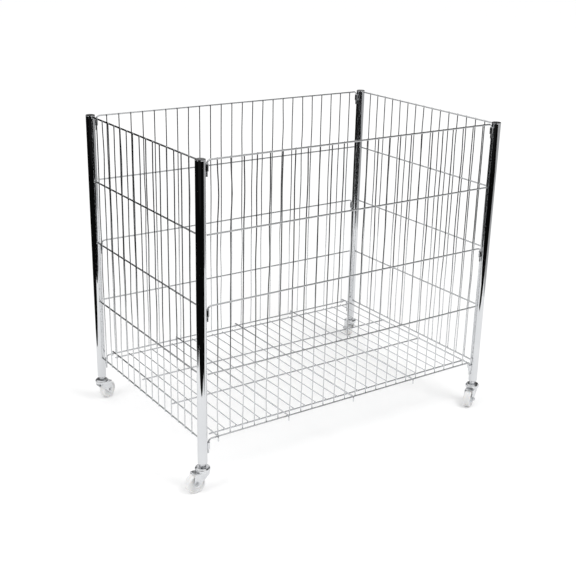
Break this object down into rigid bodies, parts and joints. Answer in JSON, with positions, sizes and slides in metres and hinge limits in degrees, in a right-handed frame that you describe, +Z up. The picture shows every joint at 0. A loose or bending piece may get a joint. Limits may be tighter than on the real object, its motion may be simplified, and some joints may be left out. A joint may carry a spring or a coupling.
{
  "type": "retail dump bin",
  "caption": "Rectangular chromed wire basket on capped tube posts, with hook-in long sides, a loose wire base and swivel casters.",
  "frame": {"origin": "on the floor, in the middle of the four posts", "axes": "+X along the long sides, +Y from the front long side to the rear one, +Z up"},
  "size_m": [0.9949, 0.673, 0.846],
  "materials": {
    "chrome_plate": "bright chrome plating on steel tube and drawn wire",
    "cap_plastic": "satin moulded plastic",
    "zinc_plate": "bright zinc plating on pressed and turned steel",
    "bearing_steel": "polished, greased",
    "wheel_nylon": "natural nylon, slightly translucent"
  },
  "bodies": {
    "frame": {"end_mesh_left": "chrome_plate", "end_mesh_right": "chrome_plate", "post_front_left": "chrome_plate", "post_cap_front_left": "cap_plastic", "foot_insert_front_left": "zinc_plate", "hook_sleeves_front_left": "chrome_plate", "caster_stem_front_left": "zinc_plate", "lock_nut_front_left": "zinc_plate", "upper_race_front_left": "zinc_plate", "post_front_right": "chrome_plate", "post_cap_front_right": "cap_plastic", "foot_insert_front_right": "zinc_plate", "hook_sleeves_front_right": "chrome_plate", "caster_stem_front_right": "zinc_plate", "lock_nut_front_right": "zinc_plate", "upper_race_front_right": "zinc_plate", "post_rear_left": "chrome_plate", "post_cap_rear_left": "cap_plastic", "foot_insert_rear_left": "zinc_plate", "hook_sleeves_rear_left": "chrome_plate", "caster_stem_rear_left": "zinc_plate", "lock_nut_rear_left": "zinc_plate", "upper_race_rear_left": "zinc_plate", "post_rear_right": "chrome_plate", "post_cap_rear_right": "cap_plastic", "foot_insert_rear_right": "zinc_plate", "hook_sleeves_rear_right": "chrome_plate", "caster_stem_rear_right": "zinc_plate", "lock_nut_rear_right": "zinc_plate", "upper_race_rear_right": "zinc_plate"},
    "front_side": {"front_panel": "chrome_plate"},
    "rear_side": {"rear_panel": "chrome_plate"},
    "base": {"base_grid": "chrome_plate"},
    "caster_front_left": {"fork_front_left": "zinc_plate", "race_balls_front_left": "bearing_steel", "wheel_bush_front_left": "bearing_steel", "axle_bolt_front_left": "zinc_plate", "axle_nut_front_left": "zinc_plate"},
    "roller_front_left": {"wheel_front_left": "wheel_nylon"},
    "caster_front_right": {"fork_front_right": "zinc_plate", "race_balls_front_right": "bearing_steel", "wheel_bush_front_right": "bearing_steel", "axle_bolt_front_right": "zinc_plate", "axle_nut_front_right": "zinc_plate"},
    "roller_front_right": {"wheel_front_right": "wheel_nylon"},
    "caster_rear_left": {"fork_rear_left": "zinc_plate", "race_balls_rear_left": "bearing_steel", "wheel_bush_rear_left": "bearing_steel", "axle_bolt_rear_left": "zinc_plate", "axle_nut_rear_left": "zinc_plate"},
    "roller_rear_left": {"wheel_rear_left": "wheel_nylon"},
    "caster_rear_right": {"fork_rear_right": "zinc_plate", "race_balls_rear_right": "bearing_steel", "wheel_bush_rear_right": "bearing_steel", "axle_bolt_rear_right": "zinc_plate", "axle_nut_rear_right": "zinc_plate"},
    "roller_rear_right": {"wheel_rear_right": "wheel_nylon"}
  },
  "joints": [
    {"name": "front_panel_lift", "type": "slide", "parent": "frame", "child": "front_side", "axis": [0, 0, 1], "range_m": [0, 0.05]},
    {"name": "rear_panel_lift", "type": "slide", "parent": "frame", "child": "rear_side", "axis": [0, 0, 1], "range_m": [0, 0.05]},
    {"name": "base_lift", "type": "slide", "parent": "front_side", "child": "base", "axis": [0, 0, 1], "range_m": [0, 0.16]},
    {"name": "front_left_swivel", "type": "hinge", "parent": "frame", "child": "caster_front_left", "pos_m": [-0.46, -0.299, 0.06], "axis": [0, 0, 1], "continuous": true},
    {"name": "front_left_roll", "type": "hinge", "parent": "caster_front_left", "child": "roller_front_left", "pos_m": [-0.482, -0.299, 0.025], "axis": [0, -1, 0], "continuous": true},
    {"name": "front_right_swivel", "type": "hinge", "parent": "frame", "child": "caster_front_right", "pos_m": [0.46, -0.299, 0.06], "axis": [0, 0, 1], "continuous": true},
    {"name": "front_right_roll", "type": "hinge", "parent": "caster_front_right", "child": "roller_front_right", "pos_m": [0.4404, -0.30899, 0.025], "axis": [0.454, -0.891, 0], "continuous": true},
    {"name": "rear_left_swivel", "type": "hinge", "parent": "frame", "child": "caster_rear_left", "pos_m": [-0.46, 0.299, 0.06], "axis": [0, 0, 1], "continuous": true},
    {"name": "rear_left_roll", "type": "hinge", "parent": "caster_rear_left", "child": "roller_rear_left", "pos_m": [-0.44006, 0.3083, 0.025], "axis": [-0.4226, 0.9063, 0], "continuous": true},
    {"name": "rear_right_swivel", "type": "hinge", "parent": "frame", "child": "caster_rear_right", "pos_m": [0.46, 0.299, 0.06], "axis": [0, 0, 1], "continuous": true},
    {"name": "rear_right_roll", "type": "hinge", "parent": "caster_rear_right", "child": "roller_rear_right", "pos_m": [0.4693, 0.31894, 0.025], "axis": [-0.9063, 0.4226, 0], "continuous": true}
  ],
  "couplings": [
    {"joint": "rear_panel_lift", "follows": "front_panel_lift", "ratio": 1}
  ]
}
